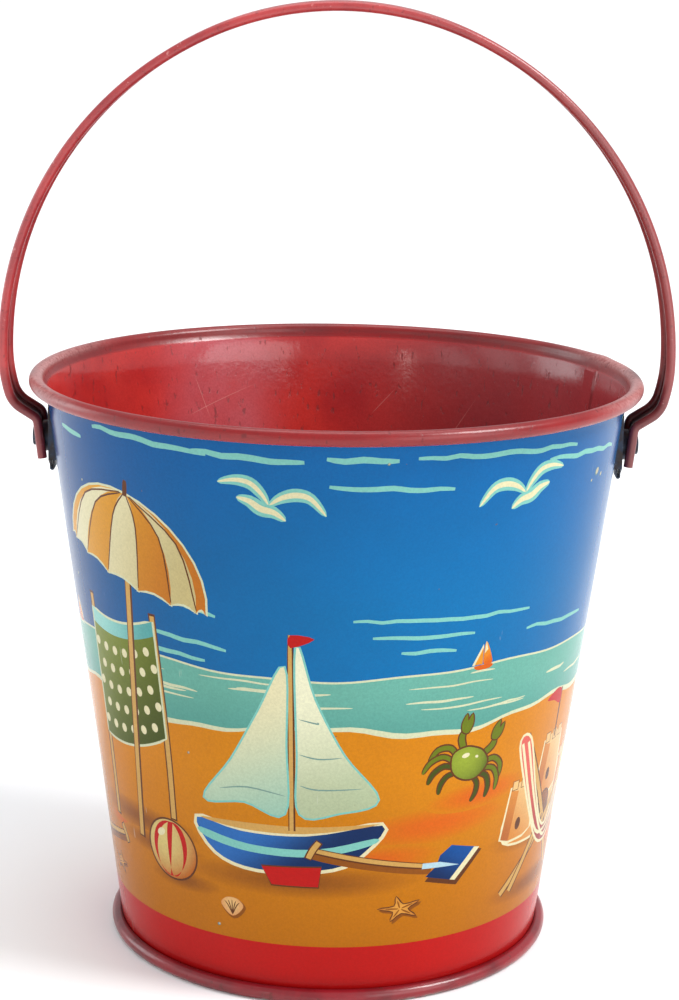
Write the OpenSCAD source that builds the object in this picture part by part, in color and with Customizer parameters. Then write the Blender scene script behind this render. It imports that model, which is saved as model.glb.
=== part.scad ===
// Child's tin sand bucket: a tapered shell with a wired rim, a seamed-on base pan,
// two riveted ears and a swinging strap handle.
// Origin: centre of the circle that the bucket stands on. +Z up, handle pivots along X.

/* [Bucket] */
// Outside diameter across the rolled rim
rim_d = 150; // [140:1:160]
// Height from the ground to the top of the rim
rim_top = 142.4; // [138:0.2:146]
// Thickness of the tinplate
sheet = 0.45; // [0.35:0.05:0.6]
// Outside radius of the wall where it enters the foot bead
wall_foot_r = 53.4; // [52:0.1:55]
// How far the wall leans out for each millimetre of height
wall_lean = 0.1298; // [0.12:0.0001:0.14]
// Outside radius of the rim roll's section
curl_r = 1.75; // [1.6:0.05:1.9]
// Radius of the stiffening wire inside the rim roll
wire_r = 1.25; // [1:0.05:1.25]

/* [Base] */
// Outside radius of the foot bead's section
bead_r = 1.75; // [1.6:0.05:1.9]
// Height of the pan's floor above the ground
floor_z = 3; // [2.5:0.1:3.4]
// Radius of the shallow pressed step in the floor
step_r = 38; // [20:1:44]
// Rise of the pressed step
step_rise = 0.8; // [0.5:0.1:1.2]

/* [Side seam] */
// Angle of the seam round from +X towards +Y
seam_angle = 22; // [15:1:40]
// Width of the folded seam
seam_w = 5; // [4:0.5:7]

/* [Handle] */
// Height of the pivot line
pivot_z = 125; // [124:0.1:126]
// Width of the strap
strap_w = 12.7; // [11:0.1:13]
// Thickness of the strap's web
web = 0.8; // [0.6:0.1:1]
// Radius of the turned edges
hem_r = 1.15; // [1:0.05:1.2]
// Height of the top of the handle
handle_top = 231.1; // [230:0.1:232]
// Outside radius of the crown of the arch
crown_r = 77; // [76.5:0.5:77.5]
// Outside radius of the flanks of the arch
flank_r = 86; // [85.5:0.5:86.5]

/* [Pivots] */
// Radius of the rivet's shank
shank_r = 1.5; // [1.2:0.1:1.6]
// Running clearance between shank and holes
run_gap = 0.05; // [0.02:0.01:0.08]
// Radius of the rivet's heads
head_r = 2.4; // [2.2:0.1:2.6]
// Width of the ears
ear_w = 10; // [8:0.5:11]
// Thickness of the ears
ear_t = 0.4; // [0.4:0.05:0.6]
// Width of the folded tongue below each ear
tongue_w = 4.5; // [3:0.5:5]
// Radius of the washers between ears and strap
washer_r = 3.8; // [2.6:0.1:3.9]

/* [Hidden] */

$fn = 96;
slit = 0.05;

curl_x = rim_d / 2 - curl_r;
curl_z = rim_top - curl_r;
bead_x = 53.85;
bead_z = 1.65;
foot_z = 5.3;
wall_low_z = 1.7;
flare_z = 138.6;

// Heights on the ears: top, where they leave the wall to hang plumb, where they narrow, foot of the plate
ear_top = 138.2;
ear_knee = 132.6;
ear_shoulder = 119.8;
ear_low = 118.2;

// Angles that split the arch: crown, flank, shoulder and lower bend
crown_half = 25;
shoulder_r = 35;
shoulder_sweep = 16;
bend_r = 8;
bend_sweep = 42;
diagonal = 3.4;
reverse_r = 1.2;
end_angle = 6.6;
end_len = 8.8;

// Outside radius of the wall at height z
function wall_r(z) = wall_foot_r + wall_lean * (z - foot_z);

// Outside radius of the pan's short upright wall, just inside the bucket's wall
pan_r = wall_r(wall_low_z) - sheet - slit;

// Distance from the middle to the inner face of an ear's plate
ear_x = wall_r(ear_knee) + slit;

// A point at distance r from c, at angle a in the XZ plane
function polar(c, r, a) = c + r * [cos(a), sin(a)];

// Centres and joins of the handle's outer line, right-hand half, as [x, z]
crown_c = [0, handle_top - crown_r];
flank_top = 90 - crown_half;
flank_c = polar(crown_c, crown_r - flank_r, flank_top);
shoulder_c = polar(flank_c, flank_r - shoulder_r, 0);
bend_c = polar(shoulder_c, shoulder_r - bend_r, -shoulder_sweep);
bend_end = -shoulder_sweep - bend_sweep;
diagonal_start = polar(bend_c, bend_r, bend_end);
diagonal_dir = [sin(bend_end), -cos(bend_end)];
diagonal_end = diagonal_start + diagonal * diagonal_dir;
reverse_c = polar(diagonal_end, reverse_r, bend_end);
reverse_start = bend_end + 180;
reverse_stop = 180 - end_angle;
end_start = polar(reverse_c, reverse_r, reverse_stop);

// Distance from the handle's middle to the strap's outer face, at the pivots
pivot_face = end_start[0] - (end_start[1] - pivot_z) * tan(end_angle);

// Points along an arc, from angle a0 to a1 in n steps, the first point left out
function arc(c, r, a0, a1, n) = [for (i = [1:n]) polar(c, r, a0 + (a1 - a0) * i / n)];

// Right-hand half of the strap, d inside its outer line, from the crown to the end
function half_line(d) = concat(
    arc(crown_c, crown_r - d, 90, flank_top, 6),
    arc(flank_c, flank_r - d, flank_top, 0, 18),
    arc(shoulder_c, shoulder_r - d, 0, -shoulder_sweep, 4),
    arc(bend_c, bend_r - d, -shoulder_sweep, bend_end, 6),
    [diagonal_end - d * [cos(bend_end), sin(bend_end)]],
    arc(reverse_c, reverse_r + d, reverse_start, reverse_stop, 4),
    [end_start - [d * cos(end_angle) + end_len * sin(end_angle), end_len * cos(end_angle) - d * sin(end_angle)]]
);

function reversed(list) = [for (i = [len(list) - 1:-1:0]) list[i]];

// The same points on the other side of the middle, in the opposite order
function flipped(list) = [for (p = reversed(list)) [-p[0], p[1]]];

// Wall of sheet from z0 to z1, thick towards the axis, grown by gap on both sides
module wall_section(z0, z1, gap = 0) {
    polygon([
        [wall_r(z0) - sheet - gap, z0],
        [wall_r(z0) + gap, z0],
        [wall_r(z1) + gap, z1],
        [wall_r(z1) - sheet - gap, z1]
    ]);
}

// Sheet that flares out of the wall into the rolled rim
module flare_section() {
    polygon([
        [wall_r(flare_z) - sheet, flare_z],
        [wall_r(flare_z), flare_z],
        [curl_x - curl_r + sheet - slit, curl_z - sheet],
        [curl_x - curl_r + sheet - slit, curl_z + sheet / 2],
        [curl_x - curl_r + slit, curl_z]
    ]);
}

module body_shell() {
    color("dodgerblue") {
        rotate_extrude() {
            wall_section(wall_low_z, flare_z);
            flare_section();
            translate([curl_x, curl_z])
            difference() {
                circle(r = curl_r);
                circle(r = curl_r - sheet);
            }
        }
        side_seam();
    }
}

// Folded seam that stands proud on the inside of the wall
module side_seam() {
    seam_low = foot_z + 1;
    seam_high = flare_z - 1;
    rotate([0, 0, seam_angle])
    intersection() {
        rotate_extrude()
        polygon([
            [wall_r(seam_low) - 2 * sheet, seam_low],
            [wall_r(seam_low) - sheet / 2, seam_low],
            [wall_r(seam_high) - sheet / 2, seam_high],
            [wall_r(seam_high) - 2 * sheet, seam_high]
        ]);
        translate([0, -seam_w / 2, 0])
        cube([rim_d, seam_w, rim_top]);
    }
}

// Holes for both rivets, on one line along X
module pivot_holes() {
    translate([0, 0, pivot_z])
    rotate([0, 90, 0])
    cylinder(r = shank_r + run_gap, h = 2 * rim_d, center = true);
}

module rim_wire() {
    color("gray")
    rotate_extrude()
    translate([curl_x, curl_z])
    circle(r = wire_r);
}

// Pressed base, rolled up round the wall's lower edge into the foot bead
module base_pan() {
    color("firebrick")
    rotate_extrude() {
        difference() {
            translate([bead_x, bead_z])
            difference() {
                circle(r = bead_r);
                circle(r = bead_r - sheet);
            }
            translate([0, -bead_r])
            square([rim_d, bead_r]);
            wall_section(wall_low_z - slit, foot_z, slit);
        }
        translate([pan_r - sheet, bead_z])
        square([sheet, floor_z - bead_z + sheet]);
        translate([step_r, floor_z])
        square([pan_r - step_r, sheet]);
        translate([step_r, floor_z])
        square([sheet, step_rise + sheet]);
        translate([0, floor_z + step_rise])
        square([step_r + sheet, sheet]);
    }
}

// Right-hand ear: seated on the wall under the rim, then hanging plumb with its sides turned in to the wall
module ear() {
    difference() {
        union() {
            ear_seat();
            ear_plate();
            ear_sides();
            tongue();
        }
        pivot_holes();
    }
}

module ear_seat() {
    intersection() {
        rotate_extrude()
        polygon([
            [ear_x, ear_knee],
            [ear_x + ear_t, ear_knee],
            [wall_r(ear_top) + slit + ear_t, ear_top],
            [wall_r(ear_top) + slit, ear_top]
        ]);
        translate([0, -ear_w / 2, ear_knee - 1])
        cube([rim_d, ear_w, ear_top - ear_knee + 2]);
    }
}

module ear_plate() {
    plate_top = ear_knee + 0.4;
    translate([ear_x, 0, 0])
    rotate([90, 0, 90])
    linear_extrude(ear_t)
    polygon([
        [-ear_w / 2, plate_top],
        [-ear_w / 2, ear_shoulder],
        [-tongue_w / 2, ear_low],
        [tongue_w / 2, ear_low],
        [ear_w / 2, ear_shoulder],
        [ear_w / 2, plate_top]
    ]);
}

module ear_sides() {
    back = ear_x - 5;
    difference() {
        for (y = [-ear_w / 2, ear_w / 2 - ear_t])
            translate([back, y, ear_shoulder])
            cube([5 + ear_t / 2, ear_t, ear_knee - ear_shoulder]);
        rotate_extrude()
        polygon([
            [0, ear_low],
            [wall_r(ear_low) + slit, ear_low],
            [wall_r(ear_top) + slit, ear_top],
            [0, ear_top]
        ]);
    }
}

// Hairpin of ear sheet: down below the plate, round towards the wall and back up
module tongue() {
    fold_r = 0.6;
    drop = 0.9;
    lap = 2.2;
    translate([ear_x + ear_t - fold_r, 0, ear_low - drop])
    rotate([90, 0, 0])
    linear_extrude(tongue_w, center = true) {
        difference() {
            circle(r = fold_r);
            circle(r = fold_r - ear_t);
            translate([-fold_r - 1, 0])
            square([2 * fold_r + 2, fold_r + 1]);
        }
        translate([fold_r - ear_t, 0])
        square([ear_t, drop + 0.2]);
        translate([-fold_r, 0])
        square([ear_t, lap]);
    }
}

// Spacer between the right-hand ear and the strap
module washer() {
    low = ear_x + ear_t + slit;
    high = pivot_face - web - washer_r * tan(end_angle) - 0.15;
    translate([low, 0, pivot_z])
    rotate([0, 90, 0])
    difference() {
        cylinder(r = washer_r, h = high - low);
        translate([0, 0, -1])
        cylinder(r = shank_r + run_gap, h = high - low + 2);
    }
}

// Right-hand rivet: low flat head outside the strap, thinner clinched head behind the ear
module rivet() {
    head_t = 0.6;
    clinch_t = 0.45;
    edge = 0.2;
    inner_face = ear_x - slit;
    outer_face = pivot_face + head_r * tan(end_angle) + 0.15;
    translate([0, 0, pivot_z])
    rotate([0, 90, 0])
    rotate_extrude()
    polygon([
        [0, inner_face - clinch_t],
        [head_r - edge, inner_face - clinch_t],
        [head_r, inner_face - clinch_t + edge],
        [head_r, inner_face],
        [shank_r, inner_face],
        [shank_r, outer_face],
        [head_r, outer_face],
        [head_r, outer_face + head_t - edge],
        [head_r - edge, outer_face + head_t],
        [0, outer_face + head_t]
    ]);
}

// Handle's outline in the XZ plane: its outer line, then its inner line at depth d
module strap_outline(d) {
    outer = half_line(0);
    inner = half_line(d);
    polygon(concat(
        flipped(outer), [[0, handle_top]], outer,
        reversed(inner), [[0, handle_top - d]], reversed(flipped(inner))
    ));
}

// Slice of the strap from y0 to y1, of depth d
module strap_slice(d, y0, y1) {
    translate([0, y1, 0])
    rotate([90, 0, 0])
    linear_extrude(y1 - y0)
    strap_outline(d);
}

// Strap with both long edges turned in
module handle_strap() {
    edge_y = strap_w / 2;
    web_y = edge_y - 2 * hem_r;
    color("indianred")
    difference() {
        union() {
            strap_slice(web, -web_y, web_y);
            strap_slice(2 * hem_r, web_y, edge_y);
            strap_slice(2 * hem_r, -edge_y, -web_y);
        }
        pivot_holes();
    }
}

module ear_left() {
    color("slategray")
    mirror([1, 0, 0])
    ear();
}

module ear_right() {
    color("slategray")
    ear();
}

module washer_left() {
    color("silver")
    mirror([1, 0, 0])
    washer();
}

module washer_right() {
    color("silver")
    washer();
}

module rivet_left() {
    color("dimgray")
    mirror([1, 0, 0])
    rivet();
}

module rivet_right() {
    color("dimgray")
    rivet();
}

body_shell();
rim_wire();
base_pan();
ear_left();
ear_right();
washer_left();
washer_right();
rivet_left();
rivet_right();
handle_strap();
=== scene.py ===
import math
import random
import bmesh
import bpy
import numpy as np
from mathutils import Matrix, Vector
from mathutils.geometry import delaunay_2d_cdt


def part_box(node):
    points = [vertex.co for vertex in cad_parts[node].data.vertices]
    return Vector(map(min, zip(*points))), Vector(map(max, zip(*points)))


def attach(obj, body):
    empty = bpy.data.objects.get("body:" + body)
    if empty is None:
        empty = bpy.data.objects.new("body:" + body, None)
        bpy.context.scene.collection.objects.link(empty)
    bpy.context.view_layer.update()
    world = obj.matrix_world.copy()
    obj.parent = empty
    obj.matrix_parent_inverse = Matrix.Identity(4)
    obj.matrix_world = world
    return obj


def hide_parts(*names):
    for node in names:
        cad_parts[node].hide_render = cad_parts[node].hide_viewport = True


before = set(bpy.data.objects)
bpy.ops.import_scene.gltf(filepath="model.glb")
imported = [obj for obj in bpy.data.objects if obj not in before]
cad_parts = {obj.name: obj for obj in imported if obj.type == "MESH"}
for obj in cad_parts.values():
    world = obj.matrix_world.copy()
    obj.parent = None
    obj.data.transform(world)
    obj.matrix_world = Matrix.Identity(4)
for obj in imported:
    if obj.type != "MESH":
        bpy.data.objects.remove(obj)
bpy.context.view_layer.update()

# A child's tin sand bucket: printed wall, red lacquered rim, inside and foot, enamelled strap handle.
# Lengths of the object are in millimetres and become metres where a mesh is made.
MM = 0.001

# Sizes that the frame gives
RIM_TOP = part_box("body_shell")[1].z / MM
RIM_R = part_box("body_shell")[1].x / MM
FOOT_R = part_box("base_pan")[1].x / MM
HANDLE_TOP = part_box("handle_strap")[1].z / MM

# The tapered wall and its print
SHEET = 0.45
WALL_LEAN = 0.1298          # radius gained for each millimetre of height
WALL_FOOT_R = 53.4
WALL_FOOT_Z = 5.3
PRINT_LOW = 1.75
PRINT_HIGH = 138.6
UNROLL_R = 60.0             # radius at which the print is laid out flat
COLUMN_STEP = 1.5           # degrees between the wall's columns of points
ROW_COUNT = 56

# Rolled edges: the rim's curl stays a little inside the frame's box, to leave room for the wall's waves
CURL_R = 1.75
RIM_EASE = 0.12
BEAD_R = 1.75
BEAD_Z = 1.65

# The folded side seam, at an azimuth counted from the front towards the right
SEAM_AZIMUTH = 112.0
SEAM_R = 66.0
SEAM_HALF = 2.5
SEAM_GROOVE = 0.22


def wall_radius(z):
    """Outside radius of the plain wall at height z."""
    return WALL_FOOT_R + WALL_LEAN * (z - WALL_FOOT_Z)


def dent(azimuth, z):
    """Slight waviness of hand-worn tinplate, in millimetres outwards."""
    a = math.radians(azimuth)
    slow = 0.10 * math.sin(2 * a + 0.6) * math.sin(z / 31 + 0.4)
    return slow + 0.06 * math.sin(5 * a + 1.9) * math.sin(z / 17 + 2.0)


def around(azimuth, radius, z):
    """Point at an azimuth counted from the front, towards the right, in metres."""
    a = math.radians(azimuth)
    return (radius * math.sin(a) * MM, -radius * math.cos(a) * MM, z * MM)


# ---------------------------------------------------------------- camera, floor and light

def make_camera():
    """A long lens in front, a little above the rim and tipped down at the bucket."""
    distance, height = 7.571 * RIM_R * MM, 3.262 * RIM_R * MM
    pitch, yaw, roll = 0.2333, -0.0021, 0.0163
    data = bpy.data.cameras.new("camera")
    data.lens, data.sensor_width = 84.6, 36.0
    camera = bpy.data.objects.new("camera", data)
    aim = Matrix.Rotation(yaw, 4, "Z") @ Matrix.Rotation(math.pi / 2 - pitch, 4, "X")
    camera.matrix_world = Matrix.Translation((0, -distance, height)) @ aim @ Matrix.Rotation(roll, 4, "Z")
    bpy.context.scene.collection.objects.link(camera)
    bpy.context.scene.camera = camera


def soft_light(name, place, target, size, power, tint=(1, 1, 1)):
    """A rectangular light of a width and height, aimed at a target."""
    data = bpy.data.lights.new(name, "AREA")
    data.shape, data.size, data.size_y = "RECTANGLE", size[0], size[1]
    data.energy, data.color = power, tint
    light = bpy.data.objects.new(name, data)
    light.location = place
    light.rotation_euler = (Vector(target) - Vector(place)).to_track_quat("-Z", "Y").to_euler()
    bpy.context.scene.collection.objects.link(light)


def make_studio():
    """Plain bright surroundings, a soft sun and five windows whose reflections show on the lacquer."""
    bpy.context.scene.view_settings.view_transform = "Standard"
    world = bpy.data.worlds.new("studio")
    world.use_nodes = True
    background = world.node_tree.nodes["Background"].inputs
    background["Color"].default_value = (0.95, 0.97, 1.0, 1)
    background["Strength"].default_value = 0.66
    bpy.context.scene.world = world
    sun = bpy.data.lights.new("daylight", "SUN")
    sun.energy, sun.angle = 2.3, math.radians(20)
    lamp = bpy.data.objects.new("daylight", sun)
    lamp.rotation_euler = Vector((-0.62, 0.2, -0.76)).to_track_quat("-Z", "Y").to_euler()
    bpy.context.scene.collection.objects.link(lamp)
    soft_light("window_right", (0.88, -0.98, 0.43), (0, 0, 0.2), (1.05, 0.84), 6.5)
    soft_light("window_left", (-1.2, 0.42, 0.4), (0, 0, 0.2), (0.6, 0.7), 4.0, (0.95, 0.98, 1.0))
    soft_light("wall_left", (-1.18, -0.55, 0.42), (0, 0, 0.2), (0.9, 0.8), 2.0)
    soft_light("window_gap", (-0.66, -1.12, 0.36), (0, 0, 0.2), (0.045, 0.5), 0.6, (1.0, 0.97, 0.9))
    soft_light("ceiling", (0.0, 0.3, 1.4), (0, 0, 0.1), (1.0, 0.8), 6.0)


# ---------------------------------------------------------------- shader expressions

class Value:
    """A number or vector that a shader node gives, for use in arithmetic."""

    def __init__(self, look, socket):
        self.look, self.socket = look, socket

    def __add__(self, other):
        return self.look.maths("ADD", self, other)

    def __sub__(self, other):
        return self.look.maths("SUBTRACT", self, other)

    def __rsub__(self, other):
        return self.look.maths("SUBTRACT", other, self)

    def __mul__(self, other):
        return self.look.maths("MULTIPLY", self, other)

    def __truediv__(self, other):
        return self.look.maths("DIVIDE", self, other)

    def __pow__(self, other):
        return self.look.maths("POWER", self, other)

    __radd__, __rmul__ = __add__, __mul__

    def between(self, low, high):
        """0 below low, 1 above high and smooth in the middle; low may be the larger."""
        sockets = {"Value": self, "From Min": low, "From Max": high}
        return self.look.put("ShaderNodeMapRange", {"interpolation_type": "SMOOTHSTEP"}, sockets)


class Look:
    """A procedural material on a Principled surface."""

    def __init__(self, name, **constants):
        self.material = bpy.data.materials.new(name)
        self.material.use_nodes = True
        self.tree = self.material.node_tree
        self.surface = self.tree.nodes["Principled BSDF"]
        for name, number in constants.items():
            socket = name.replace("_", " ").title().replace("Ior", "IOR")
            self.surface.inputs[socket].default_value = number
        self.place = self.put("ShaderNodeTexCoord", {}, {}, "Object")

    def put(self, kind, settings, sockets, output=0):
        """Adds a node: its settings, then the numbers or links of its sockets."""
        node = self.tree.nodes.new(kind)
        for key, value in settings.items():
            setattr(node, key, value)
        for key, value in sockets.items():
            if isinstance(value, Value):
                self.tree.links.new(value.socket, node.inputs[key])
            else:
                node.inputs[key].default_value = value
        return Value(self, node.outputs[output])

    def maths(self, operation, a, b):
        """A Math node on two numbers or links."""
        return self.put("ShaderNodeMath", {"operation": operation}, {0: a, 1: b})

    def stretched(self, scale, turn=(0, 0, 0)):
        """Object coordinates scaled along each axis, then turned."""
        return self.put("ShaderNodeMapping", {}, {"Vector": self.place, "Scale": scale, "Rotation": turn})

    def noise(self, scale, detail=3.0, vector=None, roughness=0.55):
        """Cloudy noise, 0 to 1, finer with a larger scale."""
        sockets = {"Vector": vector or self.place, "Scale": scale, "Detail": detail, "Roughness": roughness}
        return self.put("ShaderNodeTexNoise", {}, sockets)

    def across(self, axis="X"):
        """Distance along one axis from the bucket's middle, in metres."""
        return self.put("ShaderNodeSeparateXYZ", {}, {0: self.place}, axis)

    def height(self):
        """Height above the ground, in metres."""
        return self.across("Z")

    def reach(self, direction, origin):
        """Distance of the shaded point from an origin, measured along a direction."""
        vectors = {0: self.place, 1: direction}
        dot = self.put("ShaderNodeVectorMath", {"operation": "DOT_PRODUCT"}, vectors, "Value")
        return dot - direction.dot(origin)

    def scratches(self, lines, width):
        """1 on fine scratches, each from one (azimuth, radius, height) to another."""
        total = None
        for first, last in lines:
            start, end = Vector(around(*first)), Vector(around(*last))
            along = (end - start).normalized()
            across = along.cross(Vector((start.x + end.x, start.y + end.y, 0))).normalized()
            off = self.reach(across, start)
            near = 1 - (off * off).between(0, (width * MM) ** 2)
            run = self.reach(along, start) / (end - start).length
            mask = near * run.between(0.0, 0.3) * (1 - run.between(0.6, 1.0))
            total = mask if total is None else total + mask
        return total

    def mix(self, a, b, factor, blend="MIX"):
        """Colour a turned towards colour b by factor."""
        settings = {"data_type": "RGBA", "blend_type": blend}
        return self.put("ShaderNodeMix", settings, {0: factor, 6: a, 7: b}, 2)

    def feed(self, **values):
        """Links values to the surface's sockets."""
        for name, value in values.items():
            self.tree.links.new(value.socket, self.surface.inputs[name.replace("_", " ").title()])

    def bump(self, height, strength, depth):
        """Relief from a height, depth metres deep."""
        normal = self.put("ShaderNodeBump", {}, {"Height": height, "Strength": strength, "Distance": depth})
        self.tree.links.new(normal.socket, self.surface.inputs["Normal"])


def paint(red, green, blue):
    """Linear colour of a paint given on the 0 to 255 display scale."""
    def linear(level):
        level = level / 255
        return level / 12.92 if level <= 0.04045 else ((level + 0.055) / 1.055) ** 2.4
    return (linear(red), linear(green), linear(blue), 1.0)


# ---------------------------------------------------------------- materials

# Longer scratches inside the bucket, each from one (azimuth, radius, height) to another
SCRATCHES = (
    ((-143, 68.0, 119), (-162, 68.5, 127)), ((-146, 68.5, 131), (-150, 68.0, 117)),
    ((172, 68.0, 118), (166, 68.5, 126)), ((-30, 66.0, 96), (-18, 68.0, 118)),
    ((40, 66.0, 92), (62, 67.0, 110)), ((-96, 66.0, 90), (-80, 67.0, 121)),
)


def printed_tin():
    """Lithographed ink under clear lacquer: fine stipple, dulled patches, pin chips."""
    look = Look("printed_tin", roughness=0.2, ior=1.24)
    ink = look.put("ShaderNodeAttribute", {"attribute_name": "ink"}, {}, "Color")
    ink = look.mix(ink, (0.84, 0.87, 0.86, 1), 1.0, "MULTIPLY")
    stipple = look.noise(1700, 4.0, roughness=0.8).between(0.3, 0.7)
    patches = look.noise(34, 5.0).between(0.35, 0.75)
    worn = look.mix(ink, (0.76, 0.77, 0.8, 1), stipple * 0.7, "MULTIPLY")
    worn = look.mix(worn, (0.7, 0.66, 0.58, 1), patches * 0.22, "MULTIPLY")
    rubs = look.noise(1.0, 3.0, look.stretched((520, 520, 26), (0.3, 0.5, 0.9))).between(0.74, 0.78)
    worn = look.mix(worn, paint(196, 196, 176), rubs * 0.28)
    pits = look.noise(480, 2.0).between(0.79, 0.81)
    worn = look.mix(worn, paint(92, 70, 52), pits * 0.7)
    look.feed(base_color=worn, roughness=look.noise(110, 3.0) * 0.14 + 0.13 + pits * 0.3)
    look.bump(look.noise(900, 2.0) * 0.4 + look.noise(130, 1.0), 0.1, 0.0003)
    return look.material


def red_lacquer():
    """Red lacquer of the rim and the inside: a painted window reflection on the inside, painted shade that
    dulls it to the right, painted glare on the rim's sides, pitted.
    """
    look = Look("red_lacquer", roughness=0.2, ior=1.5)
    cloud = look.noise(42, 5.0).between(0.3, 0.7)
    colour = look.mix(paint(198, 52, 46), paint(168, 38, 40), cloud)
    rim = look.height().between(PRINT_HIGH * MM, (PRINT_HIGH + 0.8) * MM)
    colour = look.mix(colour, look.mix(paint(138, 16, 18), paint(118, 18, 22), cloud), rim)
    # Painted reflection: the rim's top is painted whitish towards its far left and right, where it catches a
    # pale glare
    ends = (look.across() ** 2).between(0.055 ** 2, 0.072 ** 2) * look.height().between(0.1398, 0.1416)
    rim_glare_breakup = look.noise(1300, 4.0).between(0.1, 0.8)
    colour = look.mix(colour, paint(204, 150, 146), ends * rim_glare_breakup * 0.85)
    inside = 1 - rim
    # Painted reflection: a pinkish soft patch on the inside, left of the middle, where a window reflects
    painted_window_reflection = look.across().between(-0.052, -0.034) * (1 - look.across().between(-0.03, -0.008)) * inside
    colour = look.mix(colour, paint(190, 108, 118), painted_window_reflection * look.noise(60, 4.0) * 0.95)
    # Painted shade: the inside is painted duller and darker to the right, the side the light does not reach;
    # the finish there is rougher too
    inside_right_shade = look.across().between(-0.012, 0.05) * inside
    colour = look.mix(colour, paint(144, 62, 68), inside_right_shade * 0.75)
    grain = look.noise(1900, 3.0).between(0.3, 0.7)
    colour = look.mix(colour, (0.8, 0.72, 0.72, 1), grain * 0.6, "MULTIPLY")
    specks = look.noise(820, 3.0, look.stretched((1, 1, 0.35))).between(0.62, 0.7)
    colour = look.mix(colour, paint(84, 14, 16), specks * 0.55)
    rubs = look.noise(1.0, 4.0, look.stretched((420, 420, 30), (0.5, 0.9, 0.2))).between(0.72, 0.77)
    cuts = look.scratches(SCRATCHES, 0.12)
    colour = look.mix(colour, paint(214, 160, 152), rubs * 0.3)
    colour = look.mix(colour, paint(216, 150, 142), cuts * 0.45)
    rough = look.noise(160, 4.0) * 0.12 + 0.08 + rim * 0.16 + inside_right_shade * 0.06 + specks * 0.2 + rubs * 0.15
    look.feed(base_color=colour, roughness=rough)
    look.bump(look.noise(700, 3.0) + look.noise(110, 1.0) * 0.7 - specks, 0.13, 0.0003)
    return look.material


def foot_lacquer():
    """Darker red of the foot bead, with the base's dull underside."""
    look = Look("foot_lacquer", roughness=0.3, coat_weight=0.3, coat_roughness=0.12, ior=1.45)
    cloud = look.noise(90, 5.0).between(0.3, 0.75)
    colour = look.mix(paint(134, 22, 32), paint(96, 16, 24), cloud)
    low = 1 - look.height().between(0.0002, 0.0012)
    scuffs = look.noise(260, 5.0).between(0.5, 0.62) * low
    colour = look.mix(colour, paint(120, 112, 104), scuffs * 0.8)
    rust = look.noise(420, 4.0).between(0.62, 0.7)
    colour = look.mix(colour, paint(70, 30, 18), rust * 0.5)
    look.feed(base_color=colour, roughness=look.noise(220, 4.0) * 0.25 + 0.2 + rust * 0.25)
    look.bump(look.noise(650, 3.0), 0.15, 0.0003)
    return look.material


def red_enamel():
    """Softer red enamel of the handle, worn to dark metal towards its two ends, with painted shade that
    browns its right side and pale rubs that are partly painted glints.
    """
    look = Look("red_enamel", roughness=0.36, ior=1.6)
    cloud = look.noise(60, 5.0).between(0.3, 0.7)
    colour = look.mix(paint(180, 60, 60), paint(150, 46, 50), cloud)
    # Painted shade: the handle is painted browner and darker towards the right, its side away from the light
    right_handle_shade = look.across().between(-0.01, 0.07)
    colour = look.mix(colour, paint(116, 56, 54), right_handle_shade * 0.6)
    grain = look.noise(1900, 3.0).between(0.3, 0.7)
    colour = look.mix(colour, (0.8, 0.74, 0.74, 1), grain * 0.5, "MULTIPLY")
    # Pale rubs: partly real wear, partly painted glints along the handle
    rubs = look.noise(1.0, 4.0, look.stretched((700, 90, 700), (0, 0.3, 0))).between(0.66, 0.74)
    colour = look.mix(colour, paint(220, 160, 156), rubs * 0.4)
    edge = look.noise(170, 5.0) * 0.016 + look.height()
    bare = 1 - edge.between(0.140, 0.153)
    hollow = 1 - (look.across("Y") ** 2).between(0.0036 ** 2, 0.0044 ** 2)
    bare = bare * (hollow * 0.5 + 0.5)
    colour = look.mix(colour, paint(46, 30, 30), bare * 0.95)
    flakes = look.noise(420, 4.0).between(0.6, 0.64) * bare
    colour = look.mix(colour, paint(150, 44, 50), flakes * 0.7)
    dust = look.noise(900, 3.0).between(0.62, 0.7)
    colour = look.mix(colour, paint(70, 26, 28), dust * 0.4)
    look.feed(base_color=colour, roughness=look.noise(300, 4.0) * 0.25 + 0.2, metallic=bare * 0.3)
    look.bump(look.noise(800, 4.0), 0.2, 0.0003)
    return look.material


def tarnished_tin_and_washer_shade():
    """Dark blue-grey tinplate of ears, washers and rivets, with brown tarnish; on the washers, between ear
    and handle, the same dark also stands as painted shade.
    """
    look = Look("tarnished_tin_and_washer_shade", roughness=0.4)
    cloud = look.noise(500, 5.0).between(0.35, 0.65)
    colour = look.mix(paint(52, 60, 74), paint(46, 36, 34), cloud)
    bright = look.noise(1400, 3.0).between(0.62, 0.7)
    colour = look.mix(colour, paint(130, 138, 142), bright * 0.4)
    look.feed(base_color=colour, roughness=look.noise(900, 3.0) * 0.35 + 0.25, metallic=0.85 - cloud * 0.4)
    look.bump(look.noise(1600, 3.0), 0.25, 0.0002)
    return look.material


def drawn_steel():
    """Dull drawn steel of the wire in the rim."""
    look = Look("drawn_steel", roughness=0.4)
    drawn = look.noise(1.0, 4.0, look.stretched((200, 200, 2600)))
    colour = look.mix(paint(150, 148, 144), paint(104, 98, 92), drawn.between(0.35, 0.65))
    rust = look.noise(700, 4.0).between(0.6, 0.7)
    colour = look.mix(colour, paint(92, 52, 30), rust * 0.6)
    look.feed(base_color=colour, roughness=drawn * 0.3 + 0.25, metallic=1 - rust * 0.7)
    look.bump(drawn, 0.15, 0.0002)
    return look.material


def pale_floor():
    """Matt near-white paper under the bucket."""
    look = Look("pale_floor", roughness=0.75, specular_ior_level=0.2)
    look.feed(base_color=look.mix(paint(250, 250, 250), paint(247, 247, 248), look.noise(8, 2.0)))
    return look.material


# ---------------------------------------------------------------- drawing tools for the print

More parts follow.
